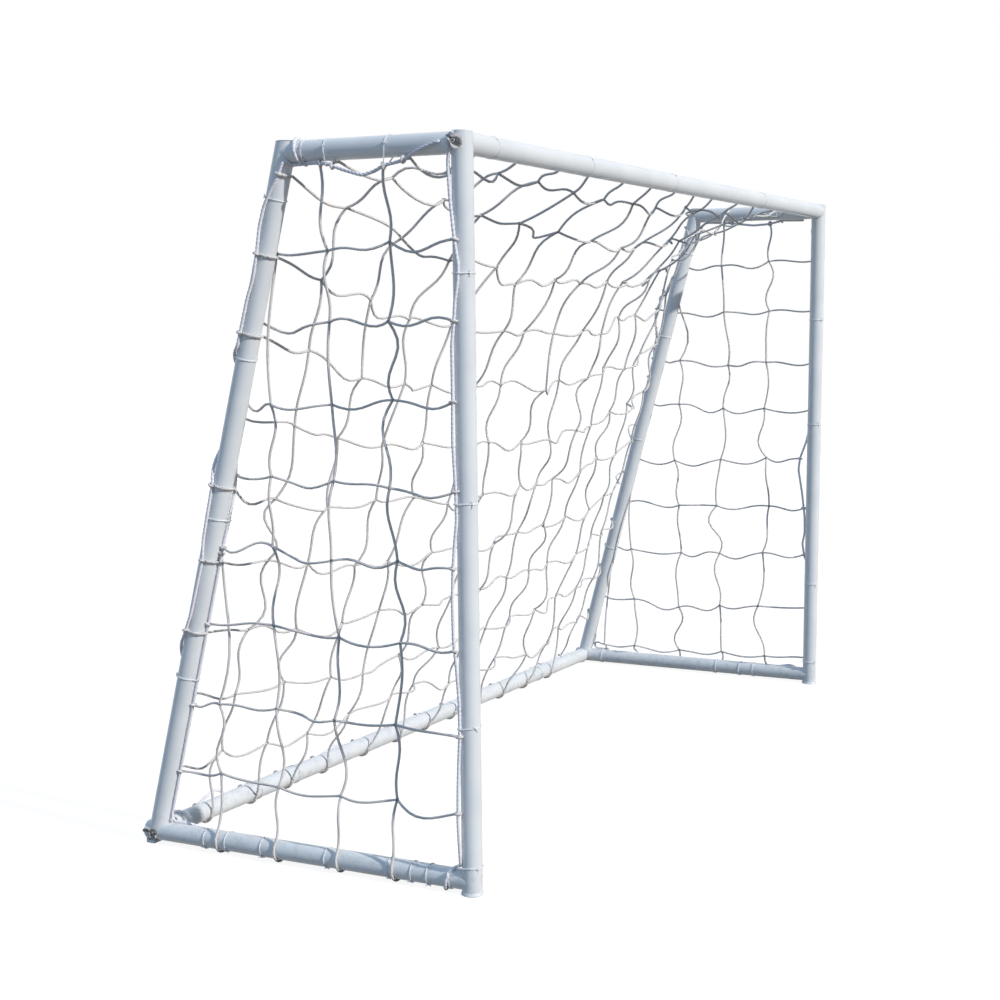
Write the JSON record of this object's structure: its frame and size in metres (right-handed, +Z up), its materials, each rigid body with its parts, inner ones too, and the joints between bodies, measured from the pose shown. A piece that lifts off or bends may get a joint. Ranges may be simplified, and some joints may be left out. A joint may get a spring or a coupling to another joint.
{
  "type": "soccer goal frame",
  "caption": "Small free-standing goal of white steel tube: upright front posts, leaning rear posts, crossbar and ground bar on wing nuts, with its net tied on.",
  "frame": {"origin": "on the ground, in the middle of the goal's footprint", "axes": "+X along the crossbar to the goal's right as seen from the pitch, +Y from the mouth to the back, +Z up"},
  "size_m": [1.8304, 0.6818, 1.2038],
  "materials": {
    "frame_paint": "gloss powder coat",
    "foot_plastic": "satin",
    "cap_white": "satin",
    "cap_grey": "satin",
    "zinc": "zinc plate",
    "nut_zinc": "zinc plate, cast",
    "net": "knotted twine",
    "rope": "twisted rope",
    "tie": "nylon"
  },
  "bodies": {
    "goal": {"front_post_left": "frame_paint", "front_post_right": "frame_paint", "bottom_bar_left": "frame_paint", "bottom_bar_right": "frame_paint", "top_bar_left": "frame_paint", "top_bar_right": "frame_paint", "rear_post_left": "frame_paint", "rear_post_right": "frame_paint", "crossbar": "frame_paint", "ground_bar": "frame_paint", "front_foot_left": "foot_plastic", "front_foot_right": "foot_plastic", "rear_foot_left": "foot_plastic", "rear_foot_right": "foot_plastic", "post_cap_left": "cap_white", "post_cap_right": "cap_white", "rear_post_cap_left": "cap_grey", "rear_post_cap_right": "cap_grey", "stud_plugs": "zinc", "washers": "zinc", "side_net_left": "net", "side_net_right": "net", "roof_net": "net", "back_net": "net", "side_rope_left": "rope", "side_rope_right": "rope", "crossbar_rope": "rope", "ground_rope": "rope", "post_ties": "tie", "rear_post_ties": "tie", "top_bar_ties": "tie", "bottom_bar_ties": "tie", "crossbar_ties": "tie", "ground_bar_ties": "tie"},
    "wing_nut_top_left_body": {"wing_nut_top_left": "nut_zinc"},
    "wing_nut_top_right_body": {"wing_nut_top_right": "nut_zinc"},
    "wing_nut_bottom_left_body": {"wing_nut_bottom_left": "nut_zinc"},
    "wing_nut_bottom_right_body": {"wing_nut_bottom_right": "nut_zinc"}
  },
  "joints": [
    {"name": "wing_nut_top_left_turn", "type": "hinge", "parent": "goal", "child": "wing_nut_top_left_body", "pos_m": [-0.9017, -0.321, 1.183], "axis": [-1, 0, 0], "continuous": true},
    {"name": "wing_nut_top_right_turn", "type": "hinge", "parent": "goal", "child": "wing_nut_top_right_body", "pos_m": [0.9017, -0.321, 1.183], "axis": [1, 0, 0], "continuous": true},
    {"name": "wing_nut_bottom_left_turn", "type": "hinge", "parent": "goal", "child": "wing_nut_bottom_left_body", "pos_m": [-0.9017, 0.32, 0.0225], "axis": [-1, 0, 0], "continuous": true},
    {"name": "wing_nut_bottom_right_turn", "type": "hinge", "parent": "goal", "child": "wing_nut_bottom_right_body", "pos_m": [0.9017, 0.32, 0.0225], "axis": [1, 0, 0], "continuous": true}
  ]
}
